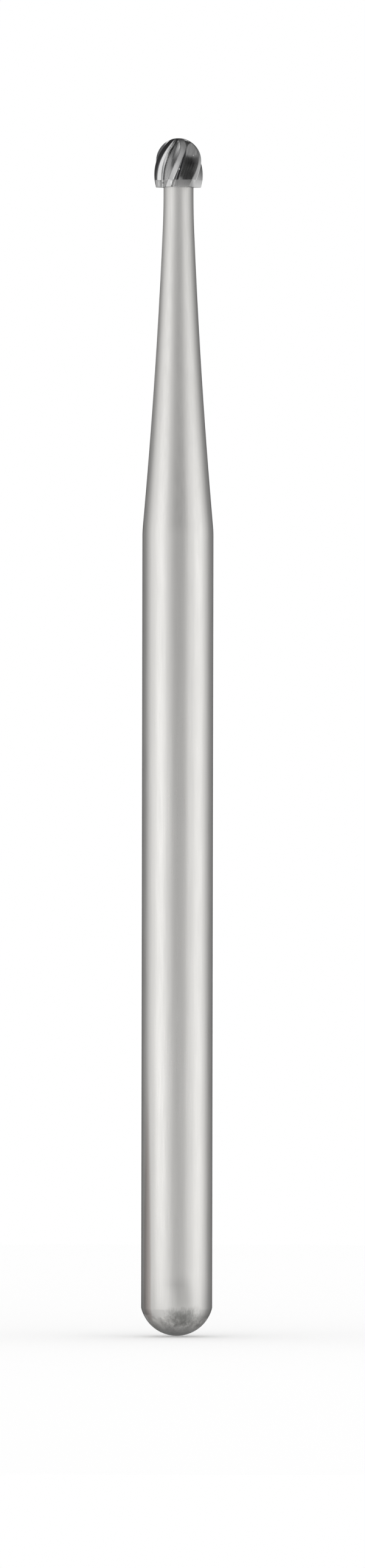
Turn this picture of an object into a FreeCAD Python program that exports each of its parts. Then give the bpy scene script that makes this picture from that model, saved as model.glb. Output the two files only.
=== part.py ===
import FreeCAD, Part
import math
import os
import re
import Sketcher

# Carbide burr: a long ground steel shank, and a round fluted cutting head whose lowest band is the shank's own end
# and whose rest is tungsten carbide, brazed on face to face. The flutes were ground through both after brazing.
# Millimetres, +Z along the axis with the head up; the origin is the lowest point of the shank's domed end.

os.makedirs("parts", exist_ok=True)
doc = FreeCAD.newDocument("CarbideBurr")

# Driving sizes
SIZES = {
    "overall_length": 26.95,       # lowest point of the dome to the tip of the head
    "shank_diameter": 1.6,         # the ground shank that a chuck grips
    "end_dome_height": 0.63,       # lower end, a ball form a little flatter than a half ball
    "neck_diameter": 0.673,        # thinnest place, just below the head
    "neck_straight": 0.05,         # straight neck between the head's underside and the flare
    "neck_flare_radius": 23.0,     # hollow curve that leaves the neck
    "long_flare_radius": 145.0,    # long hollow curve of the taper
    "shoulder_radius": 3.0,        # rounded shoulder where the taper meets the shank
    "taper_length": 7.86,          # head's underside to the lower end of the shoulder
    "head_diameter": 1.125,        # over the blades, at the head's widest place
    "head_height": 1.108,          # flat underside to the tip
    "crown_height": 0.667,         # widest place to the tip
    "tip_flat_radius": 0.012,      # small ground spot at the very tip
    "skirt_drop": 0.0565,          # how much the radius falls from the widest place to the flat underside
    "steel_band_height": 0.16,     # underside to the brazed joint
    "blade_count": 6,
    "helix_angle": 25.0,           # degrees, right-hand, measured at the widest place
    "front_blade_azimuth": -89.0,  # degrees, where one cutting edge crosses the widest place
    "land_width": 0.123,           # ground land left between two flutes
    "flute_depth": 0.178,          # at the widest place
    "flute_root_radius": 0.03,     # rounding at the bottom of a flute
    "flute_overrun": 0.1,          # how far the cut of a flute runs on into the air
}

sheet = doc.addObject("Spreadsheet::Sheet", "Sizes")
for row, (alias, value) in enumerate(SIZES.items(), start=1):
    sheet.set("A%d" % row, alias)
    sheet.set("B%d" % row, str(value))
    sheet.setAlias("B%d" % row, alias)
doc.recompute()

ANY_SIZE = re.compile(r"\b(" + "|".join(SIZES) + r")\b")


def from_sheet(expression):
    """The same expression with every size read from the sheet."""
    return ANY_SIZE.sub(r"Sizes.\1", expression)


def new_body(name):
    body = doc.addObject("PartDesign::Body", name)
    body.Label = name
    body.Placement = FreeCAD.Placement()
    return body


def origin_feature(body, role):
    return next(feature for feature in body.Origin.OriginFeatures if feature.Role == role)


def new_sketch(body, name, role):
    """A sketch on one of the body's own origin planes."""
    sketch = body.newObject("Sketcher::SketchObject", name)
    sketch.AttachmentSupport = [(origin_feature(body, role), "")]
    sketch.MapMode = "FlatFace"
    return sketch


# Drawing in a sketch
START, END, CENTRE = range(1, 4)
HORIZONTAL_AXIS, VERTICAL_AXIS = range(-1, -3, -1)
ORIGIN = (HORIZONTAL_AXIS, START)


def at(x, y):
    return FreeCAD.Vector(x, y, 0)


def add_line(sketch, first, second):
    return sketch.addGeometry(Part.LineSegment(at(*first), at(*second)))


def add_arc(sketch, centre, radius, from_angle, to_angle):
    """An arc that runs anticlockwise; angles in radians."""
    circle = Part.Circle(at(*centre), FreeCAD.Vector(0, 0, 1), radius)
    return sketch.addGeometry(Part.ArcOfCircle(circle, from_angle, to_angle))


def add_point(sketch, x, y):
    """A point that only guides other lines."""
    point = sketch.addGeometry(Part.Point(at(x, y)))
    sketch.setConstruction(point, True)
    return point


def tie(sketch, kind, *where):
    sketch.addConstraint(Sketcher.Constraint(kind, *where))


def drawn_value(sketch, kind, where):
    if kind == "Radius":
        return sketch.Geometry[where[0]].Radius
    step = sketch.getPoint(*where[2:]) - sketch.getPoint(*where[:2])
    return step.x if kind == "DistanceX" else step.y


def drive(sketch, name, expression, kind, *where):
    """A dimension that starts as drawn and then follows the sheet."""
    value = drawn_value(sketch, kind, where)
    index = sketch.addConstraint(Sketcher.Constraint(kind, *where, value))
    sketch.renameConstraint(index, name)
    sketch.setExpression("Constraints." + name, from_sheet(expression))


def revolve(body, sketch, name):
    turned = body.newObject("PartDesign::Revolution", name)
    turned.Profile = sketch
    turned.ReferenceAxis = (sketch, ["V_Axis"])
    turned.Angle = 360.0
    return turned


# Heights on the axis
UNDERSIDE_HEIGHT = "(overall_length - head_height)"
WIDEST_HEIGHT = "(overall_length - crown_height)"
BRAZE_HEIGHT = "(overall_length - head_height + steel_band_height)"
underside_height = SIZES["overall_length"] - SIZES["head_height"]
widest_height = SIZES["overall_length"] - SIZES["crown_height"]
braze_height = underside_height + SIZES["steel_band_height"]

# Shank: domed end, ground cylinder, rounded shoulder, long hollow taper and neck, all one turned profile
shank = new_body("shank")
profile = new_sketch(shank, "ShankProfile", "XZ_Plane")

shank_radius = SIZES["shank_diameter"] / 2
neck_radius = SIZES["neck_diameter"] / 2
dome_height = SIZES["end_dome_height"]
neck_flare = SIZES["neck_flare_radius"]
long_flare = SIZES["long_flare_radius"]
shoulder = SIZES["shoulder_radius"]
shank_top = underside_height - SIZES["taper_length"]
neck_foot = underside_height - SIZES["neck_straight"]

# First guess of how far the profile leans where the two hollow curves meet and where the shoulder begins;
# the smooth joins below settle both.
mean_lean = (shank_radius - neck_radius) / SIZES["taper_length"]
upper_lean = 0.7 * mean_lean
lower_lean = 1.5 * mean_lean

dome_radius = (shank_radius ** 2 + dome_height ** 2) / (2 * dome_height)
dome_half_angle = math.atan2(shank_radius, dome_radius - dome_height)
dome = add_arc(profile, (0, dome_radius), dome_radius, -math.pi / 2, -math.pi / 2 + dome_half_angle)
side = add_line(profile, (shank_radius, dome_height), (shank_radius, shank_top))
shoulder_arc = add_arc(profile, (shank_radius - shoulder, shank_top), shoulder, 0, lower_lean)
neck_centre = (neck_radius + neck_flare, neck_foot)
long_centre = (neck_centre[0] + (long_flare - neck_flare) * math.cos(upper_lean),
               neck_centre[1] + (long_flare - neck_flare) * math.sin(upper_lean))
long_arc = add_arc(profile, long_centre, long_flare, math.pi + upper_lean, math.pi + lower_lean)
neck_arc = add_arc(profile, neck_centre, neck_flare, math.pi, math.pi + upper_lean)
neck_side = add_line(profile, (neck_radius, neck_foot), (neck_radius, underside_height))
neck_face = add_line(profile, (neck_radius, underside_height), (0, underside_height))
centre_line = add_line(profile, (0, underside_height), (0, 0))

tie(profile, "Coincident", dome, START, *ORIGIN)
tie(profile, "PointOnObject", dome, CENTRE, VERTICAL_AXIS)
tie(profile, "Coincident", side, START, dome, END)
tie(profile, "Vertical", side)
tie(profile, "Tangent", side, END, shoulder_arc, START)
tie(profile, "Tangent", shoulder_arc, END, long_arc, END)
tie(profile, "Tangent", long_arc, START, neck_arc, END)
tie(profile, "Tangent", neck_arc, START, neck_side, START)
tie(profile, "Vertical", neck_side)
tie(profile, "Coincident", neck_face, START, neck_side, END)
tie(profile, "Horizontal", neck_face)
tie(profile, "Coincident", centre_line, START, neck_face, END)
tie(profile, "Coincident", centre_line, END, *ORIGIN)
tie(profile, "PointOnObject", neck_face, END, VERTICAL_AXIS)
drive(profile, "DomeHeight", "end_dome_height", "DistanceY", *ORIGIN, side, START)
drive(profile, "ShankRadius", "shank_diameter / 2", "DistanceX", *ORIGIN, side, END)
drive(profile, "ShoulderRadius", "shoulder_radius", "Radius", shoulder_arc)
drive(profile, "LongFlareRadius", "long_flare_radius", "Radius", long_arc)
drive(profile, "NeckFlareRadius", "neck_flare_radius", "Radius", neck_arc)
drive(profile, "NeckRadius", "neck_diameter / 2", "DistanceX", *ORIGIN, neck_side, END)
drive(profile, "NeckStraight", "neck_straight", "DistanceY", neck_side, START, neck_side, END)
drive(profile, "TaperLength", "taper_length", "DistanceY", side, END, neck_side, END)
drive(profile, "UndersideHeight", UNDERSIDE_HEIGHT, "DistanceY", *ORIGIN, neck_face, END)
revolve(shank, profile, "TurnedShank")

# Both turned forms of the head start their turn halfway between two blades at the tip, so that the closing line of
# their surfaces stays clear of the points where the flutes run out.
TURN_PER_MM = "(tan(helix_angle) * 360 / (pi * head_diameter))"
START_AZIMUTH = "(front_blade_azimuth + crown_height * %s + 180 / blade_count)" % TURN_PER_MM


def head_sketch(body, name):
    sketch = new_sketch(body, name, "XZ_Plane")
    sketch.setExpression("AttachmentOffset", from_sheet(
        "create(<<placement>>; create(<<vector>>; 0; 0; 0); create(<<rotation>>; 0; %s; 0))" % START_AZIMUTH))
    return sketch


# The head's skirt, a slight barrel that both bodies share
SKIRT_RADIUS = "(((head_height - crown_height) ^ 2 + skirt_drop ^ 2) / 2 / skirt_drop)"
BASE_RADIUS = "(head_diameter / 2 - skirt_drop)"
head_radius = SIZES["head_diameter"] / 2
skirt_drop = SIZES["skirt_drop"]
base_radius = head_radius - skirt_drop
skirt_radius = ((widest_height - underside_height) ** 2 + skirt_drop ** 2) / (2 * skirt_drop)
skirt_centre = (head_radius - skirt_radius, widest_height)
base_angle = math.asin((widest_height - underside_height) / skirt_radius)
braze_angle = math.asin((widest_height - braze_height) / skirt_radius)
braze_radius = skirt_centre[0] + skirt_radius * math.cos(braze_angle)

# Steel band: the end of the shank, as wide as the head's flat underside
band = head_sketch(shank, "BandProfile")
band_foot = add_line(band, (0, underside_height), (base_radius, underside_height))
band_side = add_arc(band, skirt_centre, skirt_radius, -base_angle, -braze_angle)
band_top = add_line(band, (braze_radius, braze_height), (0, braze_height))
band_axis = add_line(band, (0, braze_height), (0, underside_height))
tie(band, "Horizontal", band_foot)
tie(band, "PointOnObject", band_foot, START, VERTICAL_AXIS)
tie(band, "Coincident", band_foot, END, band_side, START)
tie(band, "Coincident", band_side, END, band_top, START)
tie(band, "Horizontal", band_top)
tie(band, "PointOnObject", band_top, END, VERTICAL_AXIS)
tie(band, "Coincident", band_axis, START, band_top, END)
tie(band, "Coincident", band_axis, END, band_foot, START)
drive(band, "UndersideHeight", UNDERSIDE_HEIGHT, "DistanceY", *ORIGIN, band_foot, START)
drive(band, "BrazeHeight", BRAZE_HEIGHT, "DistanceY", *ORIGIN, band_top, END)
drive(band, "BaseRadius", BASE_RADIUS, "DistanceX", band_foot, START, band_foot, END)
drive(band, "SkirtRadius", SKIRT_RADIUS, "Radius", band_side)
drive(band, "WidestHeight", WIDEST_HEIGHT, "DistanceY", *ORIGIN, band_side, CENTRE)
shank_blank = revolve(shank, band, "SteelBand")

# Carbide blank: flat brazed face, the rest of the skirt, and an egg-shaped crown. The crown is a quarter of an
# ellipse, drawn as a curve of three guide points: the widest place, the corner of the two tangents, and the tip.
head = new_body("cutting_head")
blank = head_sketch(head, "HeadProfile")
crown = SIZES["crown_height"]
QUARTER_ELLIPSE_WEIGHT = math.sqrt(0.5)

brazed_face = add_line(blank, (0, braze_height), (braze_radius, braze_height))
skirt = add_arc(blank, skirt_centre, skirt_radius, -braze_angle, 0)
tip_height = widest_height + crown
tip_flat = SIZES["tip_flat_radius"]
crown_guides = [at(head_radius, widest_height), at(head_radius, tip_height), at(tip_flat, tip_height)]
crown_arc = blank.addGeometry(Part.BSplineCurve(crown_guides, [3, 3], [0.0, 1.0], False, 2,
                                                [1.0, QUARTER_ELLIPSE_WEIGHT, 1.0], False))
blank.exposeInternalGeometry(crown_arc)
crown_corner = crown_arc + 2
tip_spot = add_line(blank, (tip_flat, tip_height), (0, tip_height))
head_axis = add_line(blank, (0, tip_height), (0, braze_height))

tie(blank, "Horizontal", brazed_face)
tie(blank, "PointOnObject", brazed_face, START, VERTICAL_AXIS)
tie(blank, "Coincident", brazed_face, END, skirt, START)
tie(blank, "Horizontal", skirt, CENTRE, skirt, END)
tie(blank, "Coincident", skirt, END, crown_arc, START)
tie(blank, "Weight", crown_corner, QUARTER_ELLIPSE_WEIGHT)
tie(blank, "Vertical", crown_arc, START, crown_corner, CENTRE)
tie(blank, "Horizontal", crown_corner, CENTRE, crown_arc, END)
tie(blank, "Coincident", crown_arc, END, tip_spot, START)
tie(blank, "Horizontal", tip_spot)
tie(blank, "PointOnObject", tip_spot, END, VERTICAL_AXIS)
tie(blank, "Coincident", head_axis, START, tip_spot, END)
tie(blank, "Coincident", head_axis, END, brazed_face, START)
drive(blank, "BrazeHeight", BRAZE_HEIGHT, "DistanceY", *ORIGIN, brazed_face, START)
drive(blank, "SkirtRadius", SKIRT_RADIUS, "Radius", skirt)
drive(blank, "WidestHeight", WIDEST_HEIGHT, "DistanceY", *ORIGIN, crown_arc, START)
drive(blank, "HeadRadius", "head_diameter / 2", "DistanceX", *ORIGIN, crown_arc, START)
drive(blank, "CrownHeight", "crown_height", "DistanceY", crown_arc, START, crown_arc, END)
drive(blank, "TipFlatRadius", "tip_flat_radius", "DistanceX", tip_spot, END, tip_spot, START)
head_blank = revolve(head, blank, "HeadBlank")

# One flute, drawn in horizontal cuts through the head. Each cut is a wedge: the blade's rake face is a radial line
# and the back runs from the root to the crease where the next blade's land begins. The depth falls with the width
# that the lands leave, down to nothing where the lands fill the whole ring around the tip.
PITCH = "(pi * head_diameter / blade_count)"
OUTER_LATITUDE = "acos(land_width / %s)" % PITCH
outer_latitude = math.acos(SIZES["land_width"] * SIZES["blade_count"] / (math.pi * SIZES["head_diameter"]))


def flute_cut(body, name, height, radius, cosine, drawn_radius, drawn_cosine):
    """One horizontal cut. The sketch's vertical axis points outwards at the cutting edge; cosine is that of the
    latitude, and the two drawn values give the first shape."""
    blades, land, overrun = SIZES["blade_count"], SIZES["land_width"], SIZES["flute_overrun"]
    rounding = SIZES["flute_root_radius"]
    opening = 2 * math.pi / blades - land / drawn_radius
    full_width = 2 * math.pi * head_radius / blades - land
    depth = SIZES["flute_depth"] * drawn_radius * opening / full_width / drawn_cosine
    root = drawn_radius - depth
    crease = (-drawn_radius * math.sin(opening), drawn_radius * math.cos(opening))
    slope = math.atan((crease[1] - root) / -crease[0])
    left = crease[0] - overrun
    corner = (left, root - left * math.tan(slope))
    top = drawn_radius + 2 * overrun
    bend = (-rounding, root + rounding / math.tan((math.pi / 2 - slope) / 2))
    foot = (bend[0] - rounding * math.sin(slope), bend[1] - rounding * math.cos(slope))

    cut = new_sketch(body, name, "XY_Plane")
    turn = "(front_blade_azimuth - 90 + (%s - %s) * %s)" % (height, WIDEST_HEIGHT, TURN_PER_MM)
    cut.setExpression("AttachmentOffset", from_sheet(
        "create(<<placement>>; create(<<vector>>; 0; 0; %s); create(<<rotation>>; %s; 0; 0))" % (height, turn)))
    root_point = add_point(cut, 0, root)
    crease_point = add_point(cut, *crease)
    rake = add_line(cut, (0, top), (0, bend[1]))
    root_arc = add_arc(cut, bend, rounding, -math.pi / 2 - slope, 0)
    back = add_line(cut, foot, corner)
    outer_side = add_line(cut, corner, (left, top))
    outer = add_line(cut, (left, top), (0, top))

    tie(cut, "PointOnObject", root_point, START, VERTICAL_AXIS)
    tie(cut, "PointOnObject", rake, START, VERTICAL_AXIS)
    tie(cut, "Vertical", rake)
    tie(cut, "Tangent", rake, END, root_arc, END)
    tie(cut, "Tangent", root_arc, START, back, START)
    tie(cut, "PointOnObject", root_point, START, back)
    tie(cut, "PointOnObject", crease_point, START, back)
    tie(cut, "Coincident", back, END, outer_side, START)
    tie(cut, "Vertical", outer_side)
    tie(cut, "Coincident", outer_side, END, outer, START)
    tie(cut, "Horizontal", outer)
    tie(cut, "Coincident", outer, END, rake, START)
    opening_angle = "(360 deg / blade_count - land_width / %s * 180 deg / pi)" % radius
    flute_width = "(2 * pi * %s / blade_count - land_width)" % radius
    flute_depth = "(flute_depth * %s / (%s - land_width) / %s)" % (flute_width, PITCH, cosine)
    drive(cut, "Root", "%s - %s" % (radius, flute_depth), "DistanceY", *ORIGIN, root_point, START)
    drive(cut, "CreaseAcross", "%s * sin(%s)" % (radius, opening_angle), "DistanceX", crease_point, START, *ORIGIN)
    drive(cut, "CreaseOut", "%s * cos(%s)" % (radius, opening_angle), "DistanceY", *ORIGIN, crease_point, START)
    drive(cut, "RootRounding", "flute_root_radius", "Radius", root_arc)
    drive(cut, "BackRunsOn", "flute_overrun", "DistanceX", back, END, crease_point, START)
    drive(cut, "RakeRunsOn", "%s + 2 * flute_overrun" % radius, "DistanceY", *ORIGIN, rake, START)
    return cut


def crown_cut(body, name, share, height=None):
    """A cut on the crown, at a share of the latitude where the flutes run out."""
    latitude = "(%s * %s)" % (share, OUTER_LATITUDE)
    radius = "(tip_flat_radius + (head_diameter / 2 - tip_flat_radius) * cos(%s))" % latitude
    height = height or "(%s + crown_height * sin(%s))" % (WIDEST_HEIGHT, latitude)
    cosine = math.cos(share * outer_latitude)
    drawn_radius = tip_flat + (head_radius - tip_flat) * cosine
    return flute_cut(body, name, height, radius, "cos(%s)" % latitude, drawn_radius, cosine)


def grind_flutes(body, blank_feature, prefix):
    """Cuts one flute out of the body and repeats it for every blade."""
    below_head = "(%s - flute_overrun)" % UNDERSIDE_HEIGHT
    above_head = "(overall_length + flute_overrun)"
    cuts = [flute_cut(body, prefix + "CutBelow", below_head, BASE_RADIUS, "1", base_radius, 1.0)]
    latitude_shares = (0.0, 0.25, 0.5, 0.7, 0.85)
    for number, share in enumerate(latitude_shares, start=1):
        cuts.append(crown_cut(body, prefix + "Cut%d" % number, share))
    # From the last latitude the cut carries straight on up, so the flute runs out through the crown by itself.
    cuts.append(crown_cut(body, prefix + "CutAbove", latitude_shares[-1], above_head))

    flute = body.newObject("PartDesign::SubtractiveLoft", prefix + "Flute")
    flute.Profile = cuts[0]
    flute.Sections = cuts[1:]
    doc.recompute()
    if not flute.Shape.Volume < blank_feature.Shape.Volume:
        raise RuntimeError("%s takes nothing off its blank" % flute.Label)

    pattern = body.newObject("PartDesign::PolarPattern", prefix + "Flutes")
    pattern.Originals = [flute]
    pattern.Axis = (origin_feature(body, "Z_Axis"), [""])
    pattern.Angle = 360.0
    pattern.setExpression("Occurrences", from_sheet("blade_count"))
    body.Tip = pattern
    doc.recompute()


grind_flutes(head, head_blank, "Head")
grind_flutes(shank, shank_blank, "Band")

for thing in doc.Objects:
    problems = [state for state in thing.State if state in ("Invalid", "Error")]
    if problems:
        raise RuntimeError("%s: %s" % (thing.Label, problems))

for node in (head, shank):
    shape = node.Shape
    if shape.isNull() or not shape.isValid() or len(shape.Solids) != 1:
        raise RuntimeError("%s has no sound shape" % node.Label)
    shape.exportStep("parts/%s.step" % node.Label)
    print(node.Label, "volume", round(shape.Volume, 4), "faces", len(shape.Faces))
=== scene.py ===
import math

import bmesh
import bpy
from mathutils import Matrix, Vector


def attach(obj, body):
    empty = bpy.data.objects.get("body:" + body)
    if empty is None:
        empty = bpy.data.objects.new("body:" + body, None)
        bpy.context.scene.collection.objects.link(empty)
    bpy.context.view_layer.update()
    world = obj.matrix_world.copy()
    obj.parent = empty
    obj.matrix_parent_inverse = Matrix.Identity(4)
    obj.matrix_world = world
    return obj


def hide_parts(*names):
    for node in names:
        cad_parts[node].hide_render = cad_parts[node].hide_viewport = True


bl_info = {
    "name": "Carbide burr",
    "version": (1, 0, 0),
    "blender": (4, 5, 0),
    "location": "View3D > Sidebar > Burr",
    "description": "Builds a fluted carbide burr on its steel shank, with its materials, light and camera",
    "category": "Object",
}

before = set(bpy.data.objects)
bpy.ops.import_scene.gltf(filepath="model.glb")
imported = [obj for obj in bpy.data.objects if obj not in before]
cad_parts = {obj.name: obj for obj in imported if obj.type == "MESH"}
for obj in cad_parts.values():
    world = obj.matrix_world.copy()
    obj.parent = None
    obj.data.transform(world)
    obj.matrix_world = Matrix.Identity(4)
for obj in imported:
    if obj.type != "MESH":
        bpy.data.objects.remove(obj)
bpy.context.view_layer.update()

MM = 0.001

# Mesh points of one blade's pitch, in order from its edge
RAKE, ROOT, BACK, LAND = "rake", "root", "back", "land"
AROUND = {RAKE: 7, ROOT: 6, BACK: 19, LAND: 8}
PER_BLADE = sum(AROUND.values())

# Mesh rows along the burr
DOME_ROWS, CYLINDER_ROWS, SHOULDER_ROWS = 40, 32, 12
LONG_FLARE_ROWS, NECK_FLARE_ROWS, BAND_ROWS = 40, 16, 14
SKIRT_ROWS, CROWN_ROWS = 24, 130

# Tolerances of the meshes
MERGE_DISTANCE = 1e-4 * MM
COLLAPSE_DISTANCE = 1e-5 * MM
SHARP_ANGLE = math.radians(20)


# Sizes, finish and light

def length(name, description, default_mm):
    return bpy.props.FloatProperty(name=name, description=description, default=default_mm * MM, unit="LENGTH",
                                   subtype="DISTANCE", precision=6, min=0.0)


def turn_angle(name, description, default_degrees):
    return bpy.props.FloatProperty(name=name, description=description, default=math.radians(default_degrees),
                                   unit="ROTATION", subtype="ANGLE")


def share(name, description, default):
    return bpy.props.FloatProperty(name=name, description=description, default=default, min=0.0, max=1.0,
                                   subtype="FACTOR")


def metal_color(name, description, default):
    return bpy.props.FloatVectorProperty(name=name, description=description, size=3, default=default,
                                         subtype="COLOR", min=0.0, max=1.0)


def power(name, description, default):
    return bpy.props.FloatProperty(name=name, description=description, default=default, min=0.0, unit="POWER")


class BurrSizes(bpy.types.PropertyGroup):
    """Real sizes of the burr, as in the CAD model."""

    overall: length("Overall length", "Lowest point of the dome to the tip of the head", 26.95)
    shank_diameter: length("Shank diameter", "Ground shank that a chuck grips", 1.6)
    dome_height: length("Dome height", "Ball form of the lower end", 0.63)
    neck_diameter: length("Neck diameter", "Thinnest place, just below the head", 0.673)
    neck_straight: length("Straight neck", "Between the head's underside and the flare", 0.05)
    neck_flare: length("Neck flare radius", "Hollow curve that leaves the neck", 23.0)
    long_flare: length("Long flare radius", "Long hollow curve of the taper", 145.0)
    shoulder: length("Shoulder radius", "Rounded shoulder below the taper", 3.0)
    taper: length("Taper length", "Head's underside to the lower end of the shoulder", 7.86)
    head_diameter: length("Head diameter", "Over the blades at the widest place", 1.125)
    head_height: length("Head height", "Flat underside to the tip", 1.108)
    crown: length("Crown height", "Widest place to the tip", 0.667)
    tip_flat: length("Tip spot radius", "Small ground spot at the very tip", 0.012)
    skirt_drop: length("Skirt drop", "Fall of the radius from the widest place to the underside", 0.0565)
    band: length("Steel band height", "Underside to the brazed joint", 0.16)
    land: length("Land width", "Ground land left between two flutes", 0.123)
    flute_depth: length("Flute depth", "At the widest place", 0.178)
    root_radius: length("Flute root radius", "Rounding at the bottom of a flute", 0.03)
    edge_round: length("Edge rounding", "Rounding of the head's lower edge", 0.012)
    blades: bpy.props.IntProperty(name="Blades", description="Number of cutting edges", default=6, min=2)
    helix: turn_angle("Helix angle", "Right-hand, at the widest place", 25.0)
    front_blade: turn_angle("Front blade", "Where one edge crosses the widest place", -89.0)


class BurrFinish(bpy.types.PropertyGroup):
    """Surface finish of the two metals."""

    steel_color: metal_color("Steel colour", "Clean ground steel", (0.80, 0.79, 0.77))
    steel_roughness: share("Steel roughness", "Ground satin shank and neck", 0.32)
    neck_roughness: share("Neck roughness", "Added towards the neck and the head", 0.14)
    dome_color: metal_color("Dome colour", "Dull grey of the domed end", (0.67, 0.66, 0.64))
    dome_roughness: share("Dome roughness", "Dull end of the shank", 0.5)
    carbide_color: metal_color("Carbide colour", "Ground tungsten carbide", (0.72, 0.72, 0.72))
    carbide_roughness: share("Carbide roughness", "Ground flutes and lands", 0.16)
    land_roughness: share("Land roughness", "Added where the lands are ground round", 0.2)
    flute_lean: turn_angle("Flute lean", "How far the flutes' backs lean up", 4.0)
    land_relief: turn_angle("Land relief", "How far each land faces backwards", 20.0)


class BurrStudio(bpy.types.PropertyGroup):
    """Camera and light of the studio."""

    distance: bpy.props.FloatProperty(name="Camera distance", description="Camera to the burr's axis",
                                      default=0.3, unit="LENGTH", subtype="DISTANCE", min=0.05)
    left_power: power("Left soft box", "Power of the left soft box", 0.075)
    right_power: power("Right soft box", "Power of the right soft box", 0.05)
    room: bpy.props.FloatProperty(name="Room brightness", description="Light of the room that metal mirrors",
                                  default=0.93, min=0.0)


# Shape of the turned shank

def steps(start, end, count):
    """Evenly spaced values after the start, the last of them at the end."""
    return [start + (end - start) * i / count for i in range(1, count + 1)]


def flare_leans(size):
    """How far the profile leans where the two hollow curves meet, and where the shoulder begins."""
    neck_flare, long_flare, shoulder = size.neck_flare, size.long_flare, size.shoulder
    rise = (size.shank_diameter - size.neck_diameter) / 2
    run = size.taper - size.neck_straight
    # Newton's method, from one guess below the taper's mean lean and one above it.
    first_upper, first_lower, tries = 0.7, 1.5, 40
    upper, lower = first_upper * rise / run, first_lower * rise / run
    for _ in range(tries):
        rise_error = (neck_flare * (1 - math.cos(upper)) + long_flare * (math.cos(upper) - math.cos(lower))
                      + shoulder * (1 - math.cos(lower)) - rise)
        run_error = (neck_flare * math.sin(upper) + long_flare * (math.sin(lower) - math.sin(upper))
                     + shoulder * math.sin(lower) - run)
        rise_by_upper = (neck_flare - long_flare) * math.sin(upper)
        rise_by_lower = (long_flare + shoulder) * math.sin(lower)
        run_by_upper = (neck_flare - long_flare) * math.cos(upper)
        run_by_lower = (long_flare + shoulder) * math.cos(lower)
        determinant = rise_by_upper * run_by_lower - rise_by_lower * run_by_upper
        upper -= (rise_error * run_by_lower - rise_by_lower * run_error) / determinant
        lower -= (rise_by_upper * run_error - rise_error * run_by_upper) / determinant
    return upper, lower


def shank_profile(size):
    """(radius, height) from the dome's pole up to the head's underside."""
    shank_radius, neck_radius = size.shank_diameter / 2, size.neck_diameter / 2
    neck_flare, long_flare, shoulder = size.neck_flare, size.long_flare, size.shoulder
    underside = size.overall - size.head_height
    shoulder_foot = underside - size.taper
    flare_top = underside - size.neck_straight
    upper, lower = flare_leans(size)

    dome_radius = (shank_radius ** 2 + size.dome_height ** 2) / (2 * size.dome_height)
    dome_half = math.atan2(shank_radius, dome_radius - size.dome_height)
    points = [(dome_radius * math.sin(angle), dome_radius * (1 - math.cos(angle)))
              for angle in steps(0.0, dome_half, DOME_ROWS)]
    points += [(shank_radius, height) for height in steps(points[-1][1], shoulder_foot, CYLINDER_ROWS)]
    points += [(shank_radius - shoulder * (1 - math.cos(angle)), shoulder_foot + shoulder * math.sin(angle))
               for angle in steps(0.0, lower, SHOULDER_ROWS)]
    centre_radius = neck_radius + neck_flare + (long_flare - neck_flare) * math.cos(upper)
    centre_height = flare_top + (long_flare - neck_flare) * math.sin(upper)
    points += [(centre_radius - long_flare * math.cos(angle), centre_height - long_flare * math.sin(angle))
               for angle in steps(lower, upper, LONG_FLARE_ROWS)]
    points += [(neck_radius + neck_flare * (1 - math.cos(angle)), flare_top - neck_flare * math.sin(angle))
               for angle in steps(upper, 0.0, NECK_FLARE_ROWS)]
    points.append((neck_radius, underside))
    return points


# Shape of the fluted head

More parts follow.
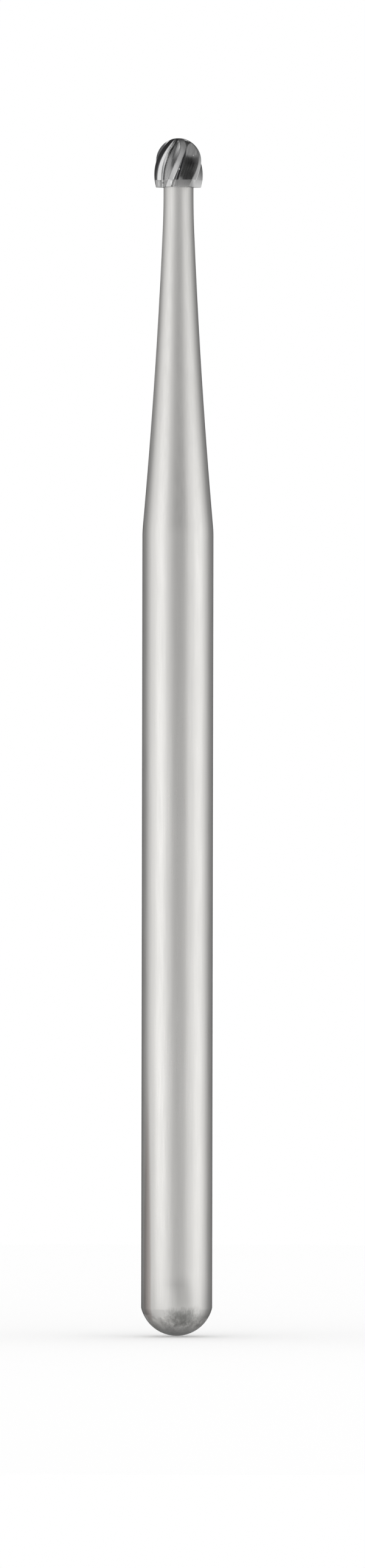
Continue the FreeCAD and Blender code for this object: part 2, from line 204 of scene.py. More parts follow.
class FlutedHead:
    """Horizontal sections of the head: a rake face, a rounded root, a straight back and a land per blade."""

    LAST_SHARE = 0.85    # share of the land's own latitude, above which the flutes run out
    ROOT_SHARE = 0.45    # the most of a flute's depth that the rounding of its root takes

    def __init__(self, size):
        self.size = size
        self.radius = size.head_diameter / 2
        self.underside = size.overall - size.head_height
        self.braze = self.underside + size.band
        self.widest = size.overall - size.crown
        drop = size.skirt_drop
        self.skirt_radius = ((self.widest - self.underside) ** 2 + drop ** 2) / (2 * drop)
        self.pitch = 2 * math.pi * self.radius / size.blades
        # The latitude at which a blade's pitch is no wider than its land.
        land_latitude = math.acos(size.land / self.pitch)
        last = self.LAST_SHARE * land_latitude
        self.last_height = self.widest + size.crown * math.sin(last)
        self.last_root, self.last_slope = self.wedge(self.crown_radius(math.cos(last)), math.cos(last))[:2]

    def crown_radius(self, cosine):
        """Radius of the crown's quarter ellipse, which ends at the spot on the tip."""
        return self.size.tip_flat + (self.radius - self.size.tip_flat) * cosine

    def crown_cosine(self, height):
        """Cosine of the latitude on the crown; 1 at the widest place and below it."""
        rise = min(1.0, max(0.0, (height - self.widest) / self.size.crown))
        return math.sqrt(1 - rise ** 2)

    def envelope(self, height):
        """Radius over the blades."""
        if height <= self.widest:
            below = self.widest - height
            return self.radius - self.skirt_radius + math.sqrt(self.skirt_radius ** 2 - below ** 2)
        return self.crown_radius(self.crown_cosine(height))

    def wedge(self, radius, cosine):
        """Root radius, slope of the back, and the crease between back and land as (across, out)."""
        size = self.size
        opening = 2 * math.pi / size.blades - size.land / radius
        depth = size.flute_depth * radius * opening / (self.pitch - size.land) / cosine
        crease = (radius * math.sin(opening), radius * math.cos(opening))
        root = radius - depth
        return root, math.atan2(crease[1] - root, crease[0]), crease

    def flute(self, height, radius):
        """As wedge; above the last whole section the root stays where it was, so the flute runs out."""
        if height <= self.last_height:
            return self.wedge(radius, self.crown_cosine(height))
        root, slope = min(self.last_root, radius), self.last_slope
        offset = root * math.sin(slope)
        reach = -offset + math.sqrt(max(0.0, offset ** 2 + radius ** 2 - root ** 2))
        return root, slope, (reach * math.cos(slope), root + reach * math.sin(slope))

    def section(self, height):
        """One blade's pitch as (radius, angle from the edge, zone)."""
        size = self.size
        radius = self.envelope(height)
        root, slope, crease = self.flute(height, radius)
        opening_half = (math.pi / 2 - slope) / 2
        rounding = min(size.root_radius, self.ROOT_SHARE * (radius - root) * math.tan(opening_half))
        bend = (rounding, root + rounding / math.tan(opening_half))
        foot = (bend[0] + rounding * math.sin(slope), bend[1] - rounding * math.cos(slope))
        points = []
        for i in range(AROUND[RAKE]):
            points.append((0.0, radius + (bend[1] - radius) * i / AROUND[RAKE], RAKE))
        for i in range(AROUND[ROOT]):
            angle = math.pi + (math.pi / 2 + slope) * i / AROUND[ROOT]
            points.append((bend[0] + rounding * math.cos(angle), bend[1] + rounding * math.sin(angle), ROOT))
        for i in range(AROUND[BACK]):
            part = i / AROUND[BACK]
            across, out = (start + (end - start) * part for start, end in zip(foot, crease))
            points.append((across, out, BACK))
        pitch_angle = 2 * math.pi / size.blades
        crease_angle = math.atan2(crease[0], crease[1])
        for i in range(AROUND[LAND]):
            angle = crease_angle + (pitch_angle - crease_angle) * i / AROUND[LAND]
            points.append((radius * math.sin(angle), radius * math.cos(angle), LAND))
        return [(math.hypot(x, y), math.atan2(x, y), zone) for x, y, zone in points]

    def turn(self, height):
        """Azimuth of the front blade's edge."""
        return self.size.front_blade + (height - self.widest) * math.tan(self.size.helix) / self.radius

    def ring(self, height, inset=0.0):
        """All blades as (x, y, zone); inset draws the whole outline in, for a rounded edge."""
        section = self.section(height)
        turn = self.turn(height)
        ring = []
        for blade in range(self.size.blades):
            for radius, angle, zone in section:
                azimuth = turn + blade * 2 * math.pi / self.size.blades + angle
                out = radius - inset
                ring.append((out * math.cos(azimuth), out * math.sin(azimuth), zone))
        return ring


# Mesh tools

def make_piece(name, verts, faces, layers, material):
    mesh = bpy.data.meshes.new(name)
    mesh.from_pydata([Vector(v) for v in verts], [], faces)
    for key, values in layers.items():
        layer = mesh.attributes.new(key, "FLOAT", "POINT")
        layer.data.foreach_set("value", values)
    work = bmesh.new()
    work.from_mesh(mesh)
    bmesh.ops.remove_doubles(work, verts=work.verts, dist=MERGE_DISTANCE)
    bmesh.ops.dissolve_degenerate(work, edges=work.edges, dist=COLLAPSE_DISTANCE)
    bmesh.ops.recalc_face_normals(work, faces=work.faces)
    work.to_mesh(mesh)
    work.free()
    mesh.shade_smooth()
    mesh.set_sharp_from_angle(angle=SHARP_ANGLE)
    mesh.materials.append(material)
    piece = bpy.data.objects.new(name, mesh)
    bpy.context.scene.collection.objects.link(piece)
    return piece


def bridge(first, second, count):
    """Quads between two rings that start at the given vertex numbers."""
    return [(first + i, first + (i + 1) % count, second + (i + 1) % count, second + i) for i in range(count)]


def fan(ring, centre, count, downwards):
    """Triangles between a ring and the vertex in its middle."""
    if downwards:
        return [(ring + (i + 1) % count, ring + i, centre) for i in range(count)]
    return [(ring + i, ring + (i + 1) % count, centre) for i in range(count)]


# Node tools

def grey(level):
    return (level, level, level)


def toned(color, factor):
    """A colour made darker or brighter."""
    return tuple(min(1.0, channel * factor) for channel in color)


class Nodes:
    """A short way to write a node tree."""

    def __init__(self, tree):
        self.tree = tree
        tree.nodes.clear()

    def add(self, kind, settings=None, **inputs):
        node = self.tree.nodes.new(kind)
        for key, value in (settings or {}).items():
            setattr(node, key, value)
        for key, value in inputs.items():
            self.put(node, key.replace("_", " "), value)
        return node

    def put(self, node, key, value):
        """Link or set a socket, given by its name or its number."""
        if isinstance(value, bpy.types.NodeSocket):
            self.tree.links.new(value, node.inputs[key])
        else:
            node.inputs[key].default_value = value

    def math(self, operation, first, second=0.0, clamp=False):
        node = self.add("ShaderNodeMath", {"operation": operation, "use_clamp": clamp})
        self.put(node, 0, first)
        self.put(node, 1, second)
        return node.outputs[0]

    def product(self, first, *others):
        for other in others:
            first = self.math("MULTIPLY", first, other)
        return first

    def total(self, first, *others):
        for other in others:
            first = self.math("ADD", first, other)
        return first

    def most(self, first, *others):
        for other in others:
            first = self.math("MAXIMUM", first, other)
        return first

    def inverse(self, mask):
        return self.math("SUBTRACT", 1.0, mask)

    def vector(self, operation, first, second=None):
        node = self.add("ShaderNodeVectorMath", {"operation": operation})
        self.put(node, 0, first)
        if second is not None:
            self.put(node, 1, second)
        return node.outputs["Value" if operation == "LENGTH" else "Vector"]

    def spread(self, value, low, high, to_low=0.0, to_high=1.0, smooth=False):
        """Maps low to high onto to_low to to_high, and holds the value beyond both ends."""
        node = self.add("ShaderNodeMapRange", {"interpolation_type": "SMOOTHSTEP" if smooth else "LINEAR"},
                        Value=value)
        for key, number in zip(("From Min", "From Max", "To Min", "To Max"), (low, high, to_low, to_high)):
            self.put(node, key, number)
        return node.outputs[0]

    def falling(self, value, start, end, top=1.0, smooth=False):
        """A mask that falls from its top at start to 0 at end."""
        return self.spread(value, start, end, top, 0.0, smooth)

    def rising(self, value, start, end, top=1.0, smooth=False):
        """A mask that rises from 0 at start to its top at end."""
        return self.spread(value, start, end, 0.0, top, smooth)

    def mix_color(self, factor, first, second):
        node = self.add("ShaderNodeMix", {"data_type": "RGBA"})
        self.put(node, 0, factor)
        # Sockets 6 and 7 are the two colours, and output 2 is the mixed one.
        for key, color in ((6, first), (7, second)):
            self.put(node, key, color if isinstance(color, bpy.types.NodeSocket) else (*color, 1.0))
        return node.outputs[2]

    def noise(self, where, scale, stretch=(1.0, 1.0, 1.0), detail=3.0, roughness=0.5):
        mapping = self.add("ShaderNodeMapping", Vector=where, Scale=stretch)
        node = self.add("ShaderNodeTexNoise", Vector=mapping.outputs[0], Scale=scale, Detail=detail,
                        Roughness=roughness)
        return node.outputs["Fac"]

    def vary(self, noise, low=0.0, high=1.0, half=0.2):
        """Maps a noise onto low to high, from half below its mean to half above it."""
        mean = 0.5
        return self.spread(noise, mean - half, mean + half, low, high)

    def swing(self, noise, amount, middle=0.0):
        return self.vary(noise, middle - amount, middle + amount)

    def spot(self, place, centre, reach, core=0.55, ragged=0.0):
        """1 inside an ellipsoid given in millimetres and 0 outside; its rim is soft beyond the core."""
        distance = self.vector("LENGTH", self.vector("DIVIDE", self.vector("SUBTRACT", place, centre), reach))
        return self.falling(self.total(distance, ragged), core, 1.0, smooth=True)

    def normal(self):
        return self.add("ShaderNodeNewGeometry").outputs["Normal"]

    def layer(self, name):
        """A number that the mesh keeps at each of its points."""
        return self.add("ShaderNodeAttribute", {"attribute_name": name}).outputs["Fac"]


def millimetres(nodes):
    """Places on the piece in millimetres, as one vector and as its X, Y and Z."""
    scaled = nodes.add("ShaderNodeVectorMath", {"operation": "SCALE"}, Scale=1 / MM)
    nodes.put(scaled, 0, nodes.add("ShaderNodeTexCoord").outputs["Object"])
    place = scaled.outputs["Vector"]
    return place, nodes.add("ShaderNodeSeparateXYZ", Vector=place).outputs


class Metal:
    """A metal that is ground: its colour, roughness, fine relief and the direction it mirrors to."""

    # Lengths in the metals are millimetres on the piece. Noises are given by their scale per millimetre,
    # and a small stretch draws them out along the burr or along a flute.
    NAME = ""
    BUMP_STRENGTH, BUMP_DEPTH = 0.0, 0.0

    def __init__(self, finish, size):
        self.finish = finish
        self.material = bpy.data.materials.new(self.NAME)
        self.material.use_nodes = True
        self.nodes = Nodes(self.material.node_tree)
        self.place, axes = millimetres(self.nodes)
        self.side, self.away, self.height = axes["X"], axes["Y"], axes["Z"]
        self.prepare(size)
        self.finish_surface()

    def finish_surface(self):
        nodes = self.nodes
        bump = nodes.add("ShaderNodeBump", Strength=self.BUMP_STRENGTH, Distance=self.BUMP_DEPTH * MM,
                         Height=self.relief(), Normal=self.facing())
        shader = nodes.add("ShaderNodeBsdfPrincipled", Base_Color=self.color(), Roughness=self.roughness(),
                           Metallic=1.0, Normal=bump.outputs[0])
        nodes.add("ShaderNodeOutputMaterial", Surface=shader.outputs[0])


# Steel of the shank, neck and band

class GroundSteel(Metal):
    """Ground steel: fine lengthwise streaks, a satin sheen, and a dull mottled dome at the lower end."""

    NAME = "ground_steel"
    BUMP_STRENGTH, BUMP_DEPTH = 0.35, 0.004

    # Painted shade, highlights and reflection, and marks, as centre and reach
    SMUDGE = (0.17, -0.75, 0.44), (0.56, 0.6, 0.36)
    HAZE = (0.12, -0.75, 0.85), (0.35, 0.5, 0.7)
    VEIL = (-0.55, -0.5, 0.5), (0.38, 0.45, 8.0)
    STAIN = (-0.67, -0.44, 0.0), (0.15, 0.2, 6.5)
    LEFT_SCRATCH = (-0.165, -0.45, 25.93), (0.014, 0.3, 0.07)
    RIGHT_SCRATCH = (-0.125, -0.45, 25.93), (0.012, 0.3, 0.07)
    GLINT = (-0.435, -0.25, 25.93), (0.05, 0.3, 0.12)
    DARK_MARK = (-0.353, -0.3, 25.94), (0.03, 0.3, 0.035)

    # Colours of the painted shade, highlights and reflection, the front patch, the band and its dark mark
    LOW_GREY, SMUDGE_GREY, FOOT_WHITE = (0.3, 0.3, 0.29), (0.22, 0.22, 0.21), (1.0, 1.0, 0.99)
    VEIL_GREY, STAIN_BROWN, TARNISH = (0.35, 0.34, 0.33), (0.47, 0.43, 0.41), (0.55, 0.545, 0.53)
    BAND_GREY, BAND_FRONT, SCRATCH_WHITE, MARK_BLACK = grey(0.52), grey(0.24), grey(1.0), grey(0.12)

    def prepare(self, size):
        nodes = self.nodes
        self.cloud = nodes.noise(self.place, scale=0.9, stretch=(1, 1, 0.25))
        self.streak = nodes.noise(self.place, scale=9.0, stretch=(1, 1, 0.05), detail=4)
        self.fine = nodes.noise(self.place, scale=38.0, stretch=(1, 1, 0.04), detail=2)
        self.grain = nodes.noise(self.place, scale=30.0, detail=3, roughness=0.7)
        self.blotch = nodes.noise(self.place, scale=7.0, stretch=(1, 1, 0.6), detail=4, roughness=0.65)
        band_foot = (size.overall - size.head_height) / MM
        self.band = nodes.rising(self.height, band_foot - 0.01, band_foot, smooth=True)
        # The dull dome ends in a wavy, slightly frayed edge.
        wave = nodes.noise(self.place, scale=1.1, detail=1)
        edge = nodes.total(self.height, nodes.swing(wave, 0.09), nodes.swing(self.fine, 0.012))
        self.dull = nodes.falling(edge, 0.42, 0.455, smooth=True)

    def color(self):
        nodes, steel, dome = self.nodes, self.finish.steel_color, self.finish.dome_color
        clean = nodes.mix_color(nodes.vary(self.streak, half=0.25), toned(steel, 0.93), steel)
        clean = nodes.mix_color(nodes.vary(self.cloud, high=0.35, half=0.15), clean, toned(steel, 0.9))
        mottled = nodes.mix_color(nodes.vary(self.blotch, half=0.18), toned(dome, 0.72), toned(dome, 1.3))
        color = nodes.mix_color(self.dull, clean, mottled)
        # Painted shade, highlights and a painted reflection, and marks, laid on one after the other.
        for mark in (self.mark_low_end, self.mark_left_side, self.mark_right_side, self.mark_band):
            color = mark(color)
        return color

    def mark_low_end(self, color):
        """Painted shade on the steel above the dome, a dark ragged patch in front with painted shade above
        it, and a painted highlight on the dome's foot.
        """
        nodes = self.nodes
        # Painted shade on the steel just above the dull dome.
        low = nodes.product(nodes.falling(self.height, 0.6, 1.4, top=0.22), nodes.inverse(self.dull))
        color = nodes.mix_color(low, color, self.LOW_GREY)
        # A dark ragged patch on the front of the dome.
        ragged = nodes.total(nodes.swing(self.blotch, 0.14), nodes.swing(self.fine, 0.1))
        smudge = nodes.spot(self.place, *self.SMUDGE, core=0.0, ragged=ragged)
        # Painted shade above the patch, on the steel in front.
        haze = nodes.product(nodes.spot(self.place, *self.HAZE, core=0.0), 0.32)
        color = nodes.mix_color(nodes.product(nodes.most(smudge, haze), 0.95), color, self.SMUDGE_GREY)
        # Painted highlight on the dome's foot.
        return nodes.mix_color(nodes.falling(self.height, 0.03, 0.25, top=0.75), color, self.FOOT_WHITE)

    def mark_left_side(self, color):
        """Painted shade and a brown painted reflection up the left side."""
        nodes = self.nodes
        # Painted shade up the left side.
        veil = nodes.product(nodes.spot(self.place, *self.VEIL, core=0.2), 0.25)
        # Painted reflection, brown, along the left edge.
        stain = nodes.product(nodes.spot(self.place, *self.STAIN), 0.85)
        return nodes.mix_color(stain, nodes.mix_color(veil, color, self.VEIL_GREY), self.STAIN_BROWN)

    def mark_right_side(self, color):
        """Painted shade on the right of the neck and taper; lower down it begins further from the middle."""
        nodes = self.nodes
        off_middle = nodes.total(self.side, nodes.spread(self.height, 15.0, 25.0, -0.36, 0.0))
        tarnish = nodes.product(nodes.rising(off_middle, 0.12, 0.27),
                                nodes.rising(self.height, 17.0, 23.5, top=0.9))
        return nodes.mix_color(tarnish, color, self.TARNISH)

    def mark_band(self, color):
        """A greyer band with painted shade in front, two scratches with painted highlights along them, a
        painted glint and a dark mark.
        """
        nodes = self.nodes
        # Painted shade on the band's front.
        front = nodes.product(nodes.rising(self.side, -0.1, -0.03), nodes.falling(self.side, 0.3, 0.36))
        band_color = nodes.mix_color(front, self.BAND_GREY, self.BAND_FRONT)
        color = nodes.mix_color(nodes.product(self.band, 0.85), color, band_color)
        # Painted highlights along two scratches, and a painted glint.
        scratches = nodes.most(nodes.spot(self.place, *self.LEFT_SCRATCH),
                               nodes.spot(self.place, *self.RIGHT_SCRATCH),
                               nodes.product(nodes.spot(self.place, *self.GLINT), 0.8))
        color = nodes.mix_color(scratches, color, self.SCRATCH_WHITE)
        return nodes.mix_color(nodes.spot(self.place, *self.DARK_MARK), color, self.MARK_BLACK)

    def roughness(self):
        nodes, finish = self.nodes, self.finish
        neck = nodes.rising(self.height, 17.5, 25.0, top=finish.neck_roughness)
        satin = nodes.total(neck, nodes.swing(self.fine, 0.04),
                            nodes.swing(self.cloud, 0.03, finish.steel_roughness))
        satin = nodes.product(satin, nodes.inverse(self.dull))
        dull = nodes.product(nodes.swing(self.grain, 0.06, finish.dome_roughness), self.dull)
        band_polish = nodes.product(self.band, finish.neck_roughness + 0.04)
        return nodes.math("SUBTRACT", nodes.total(satin, dull), band_polish)

    def relief(self):
        nodes = self.nodes
        return nodes.total(nodes.product(self.fine, 0.35), nodes.product(self.grain, self.dull, 1.6))

    def facing(self):
        """The grinding spreads light lengthwise, so the lean of the taper hardly shows."""
        nodes = self.nodes
        upright = nodes.spread(self.height, 14.0, 16.0, 1.0, 0.15)
        flatten = nodes.add("ShaderNodeCombineXYZ", X=1.0, Y=1.0, Z=upright).outputs[0]
        return nodes.vector("NORMALIZE", nodes.vector("MULTIPLY", nodes.normal(), flatten))


# Carbide of the head

# Numbers kept at each point of the head's mesh: millimetres along the outline, the zones, and how deep in the
# flute the point is.
HEAD_LAYERS = ("across", "back", "crease", "land", "depth")
CREASE_PLACE = PER_BLADE - AROUND[LAND]
BACK_FADE = 3    # points of the back over which the depth falls to 0


def zone_layers(zone, place):
    """The layers of one point that its zone and its place after the blade's edge give."""
    if zone == BACK:
        depth = max(0.0, 1.0 - (place - AROUND[RAKE] - AROUND[ROOT]) / BACK_FADE)
    else:
        depth = {RAKE: place / AROUND[RAKE], ROOT: 1.0, LAND: 0.0}[zone]
    return {"back": float(zone == BACK), "crease": float(place == CREASE_PLACE), "land": float(zone == LAND),
            "depth": depth}


class GroundCarbide(Metal):
    """Ground carbide: grinding streaks that follow the flutes, bright lands, and flute backs darkened by
    painted shade.
    """

    NAME = "ground_carbide"
    BUMP_STRENGTH, BUMP_DEPTH = 0.4, 0.003

    # Marks, as centre and reach
    NICK = (0.02, -0.55, 26.24), (0.026, 0.3, 0.026)
    SPECK = (0.33, -0.4, 26.55), (0.022, 0.3, 0.018)

    # Greys of the painted shade on the lands and of the painted highlight on the rake; the marks' white
    LAND_GREY, RIGHT_LAND_GREY, RAKE_GREY, MARK_WHITE = grey(0.4), grey(0.27), grey(0.82), grey(0.95)
    # Black of the painted shade in rims, roots and creases
    GRIME = (0.06, 0.06, 0.065)

    RAKE_TURN = math.radians(-30)    # how far the rake faces mirror as if turned
    CROWN_RELIEF = 1.9               # relief of the lands on the crown, as a multiple of that below
    DROOP = -0.3                     # how far the crown of the left blades faces down

    def prepare(self, size):
        nodes = self.nodes
        across, self.back, self.crease, self.land, self.depth = [nodes.layer(name) for name in HEAD_LAYERS]
        along = nodes.add("ShaderNodeCombineXYZ", X=across, Y=self.height).outputs[0]
        self.streak = nodes.noise(along, scale=26.0, stretch=(1, 0.07, 1), detail=4, roughness=0.6)
        self.fine = nodes.noise(along, scale=90.0, stretch=(1, 0.05, 1), detail=2)
        self.cloud = nodes.noise(self.place, scale=5.0, detail=3)
        # Height above the widest place, and the side as it follows the blades over the crown.
        self.above = nodes.math("SUBTRACT", self.height, (size.overall - size.crown) / MM)
        self.beside = nodes.total(self.side, nodes.spread(self.above, 0.02, 0.62, 0.0, -0.27))
        self.rake = nodes.product(nodes.rising(self.depth, 0.05, 0.18), nodes.falling(self.depth, 0.84, 0.98))
        self.left = nodes.product(nodes.falling(self.beside, -0.34, -0.26),
                                  nodes.falling(self.away, -0.1, 0.1))
        self.marks = nodes.most(nodes.spot(self.place, *self.NICK), nodes.spot(self.place, *self.SPECK))

    def color(self):
        nodes, carbide = self.nodes, self.finish.carbide_color
        clean = nodes.mix_color(nodes.vary(self.streak), toned(carbide, 1.05), toned(carbide, 1.3))
        # Painted shade on the flute backs, deeper on the left.
        grain = nodes.vary(self.streak, half=0.18)
        left_flute = nodes.mix_color(grain, toned(carbide, 0.34), toned(carbide, 0.54))
        right_flute = nodes.mix_color(grain, toned(carbide, 0.62), carbide)
        flute = nodes.mix_color(nodes.rising(self.side, -0.09, 0.02), left_flute, right_flute)
        color = nodes.mix_color(self.back, clean, flute)
        # Painted shade on the lands, deeper on the right.
        land = nodes.mix_color(nodes.rising(self.side, 0.25, 0.38), self.LAND_GREY, self.RIGHT_LAND_GREY)
        color = nodes.mix_color(nodes.product(self.land, 0.8), color, land)
        # The left blade's rake face gets a painted highlight.
        color = nodes.mix_color(nodes.product(self.left, self.rake), color, self.RAKE_GREY)
        # Painted shade in rims, roots and creases.
        color = nodes.mix_color(self.grime(), color, self.GRIME)
        return nodes.mix_color(self.marks, color, self.MARK_WHITE)

    def grime(self):
        """Painted shade in dark rims, roots and creases."""
        nodes = self.nodes
        rim = nodes.product(self.left, nodes.inverse(self.back), nodes.falling(self.depth, 0.2, 0.36))
        outline = nodes.product(nodes.falling(self.away, 0.15, 0.3), nodes.falling(self.beside, -0.54, -0.49),
                                nodes.rising(self.above, 0.0, 0.1))
        front = nodes.product(nodes.rising(self.side, -0.13, -0.07),
                              nodes.rising(self.depth, 0.2, 0.6, top=0.85))
        root = nodes.product(nodes.rising(self.depth, 0.84, 1.0, top=0.5),
                             nodes.falling(self.above, 0.0, 0.3))
        right_back = nodes.product(self.back, nodes.rising(self.side, 0.12, 0.28, top=0.6),
                                   nodes.rising(self.above, -0.02, 0.08),
                                   nodes.falling(self.above, 0.2, 0.29))
        return nodes.most(nodes.product(nodes.most(rim, outline), 0.93), front, root, right_back,
                          nodes.product(self.crease, 0.5))

    def roughness(self):
        nodes, finish = self.nodes, self.finish
        ground = nodes.vary(self.cloud, finish.carbide_roughness - 0.02, finish.carbide_roughness + 0.04)
        ground = nodes.total(ground, nodes.swing(self.fine, 0.05),
                             nodes.product(self.land, finish.land_roughness))
        return nodes.math("ADD", ground, nodes.product(self.marks, 0.5), clamp=True)

    def relief(self):
        nodes = self.nodes
        return nodes.total(nodes.product(self.streak, 0.6), nodes.product(self.fine, 0.3))

    def facing(self):
        """Lands fall off behind their edges, low flute backs lean up, and the crown's left faces down."""
        nodes, finish = self.nodes, self.finish
        relief = nodes.spread(self.above, 0.0, 0.3,
                              -finish.land_relief, -self.CROWN_RELIEF * finish.land_relief)
        angle = nodes.total(nodes.product(self.rake, self.RAKE_TURN), nodes.product(self.land, relief))
        turned = nodes.add("ShaderNodeVectorRotate", {"rotation_type": "Z_AXIS"},
                           Vector=nodes.normal(), Angle=angle)
        lean = nodes.product(self.back, math.tan(finish.flute_lean), nodes.falling(self.above, -0.08, 0.17))
        droop = nodes.product(nodes.total(self.back, self.land), nodes.falling(self.beside, -0.02, 0.06),
                              nodes.rising(self.above, 0.15, 0.45, top=self.DROOP))
        upwards = nodes.add("ShaderNodeCombineXYZ", Z=nodes.total(lean, droop)).outputs[0]
        return nodes.vector("NORMALIZE", nodes.vector("ADD", turned.outputs[0], upwards))


# Operators, one for each piece and one for the stage

def turned_azimuths(outline):
    """Where the turned rings have their points: halfway between even steps and the fluted outline's own."""
    start = math.atan2(outline[0][1], outline[0][0])
    azimuths = []
    for i, (x, y, _) in enumerate(outline):
        even = start + 2 * math.pi * i / len(outline)
        own = start + (math.atan2(y, x) - start) % (2 * math.pi) if i else start
        azimuths.append((even + own) / 2)
    return azimuths


class BURR_OT_shank(bpy.types.Operator):
    """Build the turned steel shank with the fluted steel band under the carbide"""

    bl_idname = "burr.shank"
    bl_label = "Steel shank"

    EDGE_ANGLES = (30, 60, 90)    # rows of the rounded lower edge, in degrees from its foot

    def execute(self, context):
        size, finish = context.scene.burr_sizes, context.scene.burr_finish
        head = FlutedHead(size)
        azimuths = turned_azimuths(head.ring(head.underside))
        count = len(azimuths)
        verts, faces, rings = [(0.0, 0.0, 0.0)], [], []
        for radius, height in shank_profile(size):
            rings.append(len(verts))
            verts += [(radius * math.cos(angle), radius * math.sin(angle), height) for angle in azimuths]
        for height, inset in self.band_rows(head):
            rings.append(len(verts))
            verts += [(x, y, height) for x, y, _ in head.ring(height, inset)]
        verts.append((0.0, 0.0, head.braze))
        faces += fan(rings[0], 0, count, True)
        for first, second in zip(rings, rings[1:]):
            faces += bridge(first, second, count)
        faces += fan(rings[-1], len(verts) - 1, count, False)
        piece = make_piece("shank_steel", verts, faces, {}, GroundSteel(finish, size).material)
        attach(piece, "root")
        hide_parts("shank")
        return {"FINISHED"}

    def band_rows(self, head):
        """(height, inset) from the head's underside over its rounded edge up to the brazed joint."""
        rounding = head.size.edge_round
        rows = [(head.underside, rounding)]
        for angle in map(math.radians, self.EDGE_ANGLES):
            rows.append((head.underside + rounding * (1 - math.cos(angle)), rounding * (1 - math.sin(angle))))
        return rows + [(height, 0.0) for height in steps(rows[-1][0], head.braze, BAND_ROWS)]


class BURR_OT_head(bpy.types.Operator):
    """Build the fluted carbide head"""

    bl_idname = "burr.head"
    bl_label = "Carbide head"

    def execute(self, context):
        size, finish = context.scene.burr_sizes, context.scene.burr_finish
        head = FlutedHead(size)
        heights = [head.braze] + steps(head.braze, head.widest, SKIRT_ROWS)
        for latitude in steps(0.0, math.pi / 2, CROWN_ROWS):
            heights.append(head.widest + size.crown * math.sin(latitude))
        verts, faces = [], []
        layers = {name: [] for name in HEAD_LAYERS}
        for row, height in enumerate(heights):
            ring = head.ring(height)
            count = len(ring)
            for i, (x, y, zone) in enumerate(ring):
                blade, place = divmod(i, PER_BLADE)
                if place:
                    across += math.hypot(x - ring[i - 1][0], y - ring[i - 1][1]) / MM
                else:
                    # Each blade starts at its own number, so its streaks are its own too.
                    across = float(blade)
                verts.append((x, y, height))
                for name, value in {"across": across, **zone_layers(zone, place)}.items():
                    layers[name].append(value)
            if row:
                faces += bridge(len(verts) - 2 * count, len(verts) - count, count)
        # The middles of the two ends count as land.
        for height in (size.overall, head.braze):
            verts.append((0.0, 0.0, height))
            for name in HEAD_LAYERS:
                layers[name].append(float(name == LAND))
        faces += fan(len(verts) - 2 - count, len(verts) - 2, count, False)
        faces += fan(0, len(verts) - 1, count, True)
        piece = make_piece("carbide_head", verts, faces, layers, GroundCarbide(finish, size).material)
        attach(piece, "root")
        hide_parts("cutting_head")
        return {"FINISHED"}


def floor_material():
    material = bpy.data.materials.new("pale_floor")
    material.use_nodes = True
    nodes = Nodes(material.node_tree)
    place, _ = millimetres(nodes)
    cloud = nodes.noise(place, scale=0.02, detail=2)
    color = nodes.mix_color(nodes.vary(cloud), grey(0.98), grey(0.99))
    shader = nodes.add("ShaderNodeBsdfDiffuse", Color=color)
    # Metal mirrors the dim room below and not the floor, as over the photograph's clear ground.
    clear = nodes.add("ShaderNodeBsdfTransparent")
    mix = nodes.add("ShaderNodeMixShader")
    nodes.put(mix, 0, nodes.add("ShaderNodeLightPath").outputs["Is Glossy Ray"])
    nodes.put(mix, 1, shader.outputs[0])
    nodes.put(mix, 2, clear.outputs[0])
    nodes.add("ShaderNodeOutputMaterial", Surface=mix.outputs[0])
    return material


def soft_box(name, azimuth, elevation, width, height, energy, aim):
    """A rectangular light; azimuth is in degrees from the camera's side towards the right of the picture."""
    data = bpy.data.lights.new(name, "AREA")
    data.shape = "RECTANGLE"
    data.size, data.size_y = width, height
    data.energy = energy
    light = bpy.data.objects.new(name, data)
    azimuth, elevation = math.radians(azimuth), math.radians(elevation)
    direction = Vector((math.sin(azimuth) * math.cos(elevation), -math.cos(azimuth) * math.cos(elevation),
                        math.sin(elevation)))
    box_distance = 0.32
    light.location = aim + direction * box_distance
    light.rotation_euler = (-direction).to_track_quat("-Z", "Y").to_euler()
    bpy.context.scene.collection.objects.link(light)


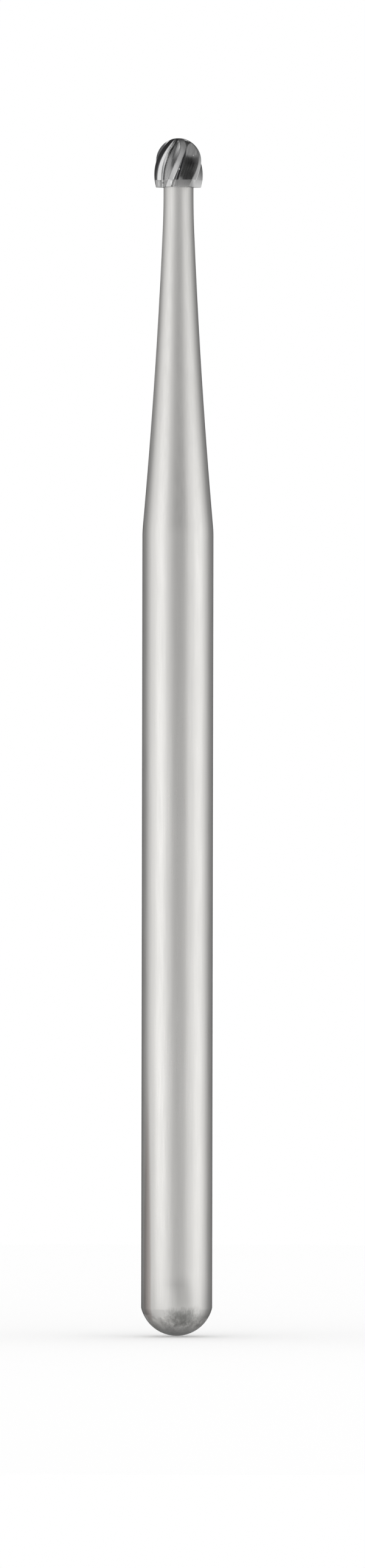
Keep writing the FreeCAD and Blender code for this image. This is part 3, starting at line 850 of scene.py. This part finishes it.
class BURR_OT_stage(bpy.types.Operator):
    """Set the pale floor, the studio light and the camera"""

    bl_idname = "burr.stage"
    bl_label = "Stage, light and camera"

    PHOTO_WIDTH, PHOTO_HEIGHT = 600, 2576
    PHOTO_SHANK = 116.8          # shank's width in the photograph, in pixels
    PHOTO_FOOT = 2194.5          # lowest point of the dome
    PHOTO_AXIS = 291.8           # the burr's axis halfway up
    PHOTO_LEAN = 0.00169         # how far the axis leans right on its way up
    SENSOR_HEIGHT = 36.0         # in millimetres, as Blender's cameras have it
    CLIP_START, CLIP_END = 0.01, 10.0

    FLOOR_RADIUS, FLOOR_SEGMENTS = 0.06, 96
    FLOOR_GAP = 0.02 * MM        # keeps the floor clear of the dome

    def execute(self, context):
        size, studio = context.scene.burr_sizes, context.scene.burr_studio
        self.make_floor()
        self.make_world(studio)
        middle = Vector((0, 0, size.overall / 2))
        soft_box("soft_box_left", azimuth=-46, elevation=-2, width=0.34, height=0.24,
                 energy=studio.left_power, aim=middle)
        soft_box("soft_box_right", azimuth=72, elevation=-14, width=0.18, height=0.36,
                 energy=studio.right_power, aim=middle)
        self.make_camera(size, studio)
        return {"FINISHED"}

    def make_floor(self):
        work = bmesh.new()
        bmesh.ops.create_circle(work, cap_ends=True, radius=self.FLOOR_RADIUS, segments=self.FLOOR_SEGMENTS)
        mesh = bpy.data.meshes.new("floor")
        work.to_mesh(mesh)
        work.free()
        mesh.materials.append(floor_material())
        floor = bpy.data.objects.new("floor", mesh)
        floor.location.z = -self.FLOOR_GAP
        bpy.context.scene.collection.objects.link(floor)

    def make_world(self, studio):
        """Plain white for all but the metals, which mirror the studio's room."""
        world = bpy.data.worlds.new("studio")
        world.use_nodes = True
        bpy.context.scene.world = world
        nodes = Nodes(world.node_tree)
        plain = nodes.add("ShaderNodeBackground", Color=(1, 1, 1, 1), Strength=1.0)
        mirrored = nodes.add("ShaderNodeBackground", Color=(1, 1, 1, 1),
                             Strength=nodes.product(self.room_level(nodes), studio.room))
        mix = nodes.add("ShaderNodeMixShader")
        nodes.put(mix, 0, nodes.add("ShaderNodeLightPath").outputs["Is Glossy Ray"])
        nodes.put(mix, 1, plain.outputs[0])
        nodes.put(mix, 2, mirrored.outputs[0])
        nodes.add("ShaderNodeOutputWorld", Surface=mix.outputs[0])

    def room_level(self, nodes):
        """How bright the room is in each direction; azimuth is 0 towards the camera."""
        direction = nodes.add("ShaderNodeTexCoord").outputs["Generated"]
        axes = nodes.add("ShaderNodeSeparateXYZ", Vector=direction).outputs
        up = axes["Z"]
        azimuth = nodes.math("ARCTAN2", axes["X"], nodes.product(axes["Y"], -1.0))
        around = nodes.math("ABSOLUTE", azimuth)
        # The room grows dark behind the burr, a little dimmer right in front, above and below.
        behind = nodes.spread(around, math.radians(86), math.radians(132), 1.0, 0.25, smooth=True)
        far_behind = nodes.spread(around, math.radians(142), math.radians(162), 1.0, 0.35, smooth=True)
        ahead = nodes.spread(around, 0.0, math.radians(50), 0.95, 1.0, smooth=True)
        above = nodes.spread(up, 0.1, 0.8, 1.0, 0.36, smooth=True)
        below = nodes.spread(up, -1.0, -0.7, 0.5, 1.0, smooth=True)
        # A dark camera and its hood stand a little above the line of sight.
        aside = nodes.math("ABSOLUTE", nodes.total(azimuth, math.radians(5)))
        hood = nodes.product(nodes.falling(aside, math.radians(29), math.radians(40), smooth=True),
                             nodes.rising(up, -0.08, 0.1, smooth=True),
                             nodes.falling(up, 0.64, 0.76, smooth=True))
        hood_darkness = 0.93
        return nodes.product(behind, far_behind, ahead, above, below,
                             nodes.inverse(nodes.product(hood, hood_darkness)))

    def make_camera(self, size, studio):
        scale = size.shank_diameter / self.PHOTO_SHANK
        data = bpy.data.cameras.new("camera")
        data.sensor_fit = "VERTICAL"
        data.sensor_height = self.SENSOR_HEIGHT
        data.lens = self.SENSOR_HEIGHT * studio.distance / (self.PHOTO_HEIGHT * scale)
        data.clip_start, data.clip_end = self.CLIP_START, self.CLIP_END
        camera = bpy.data.objects.new("camera", data)
        across = (self.PHOTO_WIDTH / 2 - self.PHOTO_AXIS) * scale
        height = (self.PHOTO_FOOT - self.PHOTO_HEIGHT / 2) * scale
        camera.location = (across, -studio.distance, height)
        camera.rotation_euler = (math.pi / 2, -self.PHOTO_LEAN, 0)
        bpy.context.scene.collection.objects.link(camera)
        bpy.context.scene.camera = camera
        bpy.context.scene.view_settings.view_transform = "Standard"


class BURR_PT_panel(bpy.types.Panel):
    """Buttons that build the burr"""

    bl_idname = "BURR_PT_panel"
    bl_label = "Carbide burr"
    bl_space_type = "VIEW_3D"
    bl_region_type = "UI"
    bl_category = "Burr"

    def draw(self, context):
        for operator in OPERATORS:
            self.layout.operator(operator.bl_idname)
        for group in (context.scene.burr_sizes, context.scene.burr_finish, context.scene.burr_studio):
            box = self.layout.box()
            for key in group.__annotations__:
                box.prop(group, key)


OPERATORS = (BURR_OT_shank, BURR_OT_head, BURR_OT_stage)
CLASSES = (BurrSizes, BurrFinish, BurrStudio, *OPERATORS, BURR_PT_panel)


def register():
    for cls in CLASSES:
        bpy.utils.register_class(cls)
    bpy.types.Scene.burr_sizes = bpy.props.PointerProperty(type=BurrSizes)
    bpy.types.Scene.burr_finish = bpy.props.PointerProperty(type=BurrFinish)
    bpy.types.Scene.burr_studio = bpy.props.PointerProperty(type=BurrStudio)


def unregister():
    del bpy.types.Scene.burr_studio
    del bpy.types.Scene.burr_finish
    del bpy.types.Scene.burr_sizes
    for cls in reversed(CLASSES):
        bpy.utils.unregister_class(cls)


def main():
    register()
    bpy.ops.burr.shank()
    bpy.ops.burr.head()
    bpy.ops.burr.stage()


if __name__ == "__main__":
    main()
